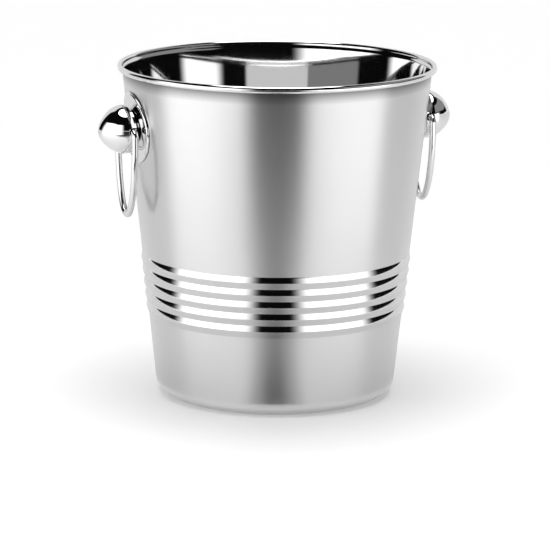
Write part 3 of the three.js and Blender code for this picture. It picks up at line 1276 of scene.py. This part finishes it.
    def soft_box(self, box: SoftBox) -> None:
        """Stands up one light, whose brightness falls off smoothly at its two upright edges.

        Args:
            box: the light.
        """
        rings = np.array([(box.radius, 0.0), (box.radius, box.height)])
        made = self.sector(box.name, box.bearing, box.half_width + box.soft, rings)

        def share(x: Signal, y: Signal) -> Signal:
            """One in the middle and nought at the edges, smoothly."""
            inside = math.radians(box.half_width) - self.apart(x, y, box.bearing)
            return smooth(soft_edge(inside, 2 * box.soft))

        self.cover(made, share, "ShaderNodeEmission", {"Color": WHITE, "Strength": box.strength})

    def black_card(self) -> None:
        """Lays a black card before the bucket that only reflections see.

        Its half width grows from near to far where it opens, its side edges are soft, it is thinner in
        a ring round the place where the wall's middle looks, and a thin part of it goes all the way
        round, so that the steel sees a greyer floor than the lens does.
        """
        rings = np.array([(self.card_start, self.card_lift), (self.card_stop, self.card_lift)])
        made = self.sector("black_card", 0.0, 180.0, rings)
        made.visible_diffuse = False

        def share(x: Signal, y: Signal) -> Signal:
            """How dark the card is: the side fade times one less the thin ring.

            Args:
                x: the place's X.
                y: its Y.

            Returns:
                The share, from 0 to 1.
            """
            reach = (x * x + y * y) ** 0.5
            wider = ((reach - self.card_open_at) / self.card_open_reach).clamped()
            half = math.radians(self.card_near) + math.radians(self.card_far - self.card_near) * wider
            fade = soft_edge(half - self.apart(x, y, 0.0), self.card_soft)
            off = (reach - self.card_thin_at).math("ABSOLUTE") / self.card_thin_reach
            ring = (1.0 - off).clamped()
            shade = fade * (self.card_depth * (1.0 - self.card_thin * ring))
            return shade.math("MAXIMUM", self.card_all_round)

        self.cover(made, share, "ShaderNodeBsdfDiffuse", {"Color": CARD_BLACK})

    def light(self) -> None:
        """Makes the world: each panel is a soft-edged patch of bearing and elevation on the dark."""
        world = bpy.data.worlds.new("studio")
        graph = opened(world)
        direction = graph.add("ShaderNodeTexCoord")[0]
        x, y, z = graph.add("ShaderNodeSeparateXYZ", {}, {"Vector": direction})
        elevation = z.math("ARCSINE")
        total = 0.0 * z + self.dark
        for panel in self.panels:
            wide = soft_edge(math.radians(panel.half_width) - self.apart(x, y, panel.bearing), panel.soft)
            above = soft_edge(elevation - math.radians(panel.low), panel.soft_up)
            below = soft_edge(math.radians(panel.high) - elevation, panel.soft_up)
            total = total.math("MAXIMUM", wide * above * below * panel.strength)
        lit = graph.add("ShaderNodeBackground", {}, {"Color": WHITE, "Strength": total})[0]
        seen = graph.add("ShaderNodeBackground", {}, {"Color": WHITE, "Strength": self.backdrop})[0]
        by_camera = graph.add("ShaderNodeLightPath")[0]
        mixed = graph.add("ShaderNodeMixShader", {}, {0: by_camera, 1: lit, 2: seen})[0]
        graph.add("ShaderNodeOutputWorld", {}, {"Surface": mixed})
        bpy.context.scene.world = world

    def build(self) -> None:
        """Sets up the camera, the floor, the card and the lights, and colours without a film curve."""
        self.camera()
        self.floor()
        self.black_card()
        for box in self.boxes:
            self.soft_box(box)
        self.light()
        bpy.context.scene.view_settings.view_transform = "Standard"
        bpy.context.scene.view_settings.look = "None"
        LOG.info("studio: %d panels, %d soft boxes", len(self.panels), len(self.boxes))


# ---- The whole ----------------------------------------------------------------------------------


@dataclass
class Handle:
    """One side's escutcheon, knob, ring and fixing, placed by that side's joint."""

    side: Side
    shell: Shell
    cad_columns: int = 60

    def place(self) -> Place:
        """Where the handle is: the mounting hole lies behind the joint's axis, along the wall's normal.

        Returns:
            The handle's place.
        """
        lean = self.shell.taper
        x, _, z = self.hinge()
        radius = abs(x) - Knob.bore_at * math.cos(lean)
        return Place(self.side, radius, z + Knob.bore_at * math.sin(lean), lean)

    def hinge(self) -> tuple[float, float, float]:
        """The joint's place in millimetres."""
        joints = {joint["name"]: joint["pos_m"] for joint in frame["joints"]}
        return tuple(value / MM for value in joints[self.side.named("ring_swing")])

    def hole(self) -> bpy.types.Object:
        """The cutter for the screw hole in the wall."""
        return self.place().rod(self.side.named("hole"), Fixing.hole, -6.0, 6.0)

    def build(self) -> None:
        """Makes the handle's pieces, from the wall outwards and then inwards.

        The seal washer is flat, so it stands off the wall by the bulge of the wall under it, by what a
        facet of the CAD model's wall cuts off, and by its gap.
        """
        place = self.place()
        inner = place.radius - self.shell.sheet
        bulge = Fixing.washer_radius**2 / (2 * inner)
        facet = inner * (1 - math.cos(math.pi / self.cad_columns))
        Escutcheon(place).build()
        Knob(place).build()
        Ring(self.side, self.hinge()).build()
        Fixing(place, -(self.shell.sheet + bulge + facet + Fixing.gap)).build()


def main() -> None:
    """Builds the bucket, its handles and the studio, in that order."""
    logging.basicConfig(level=logging.INFO, format="%(name)s: %(message)s")
    _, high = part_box("bucket_shell")
    shell = Shell(round(high.z / MM), round(high.x / MM))
    handles = [Handle(side, shell) for side in Side]
    shell.build([handle.hole() for handle in handles])
    for handle in handles:
        handle.build()
    Studio().build()


if __name__ == "__main__":
    main()
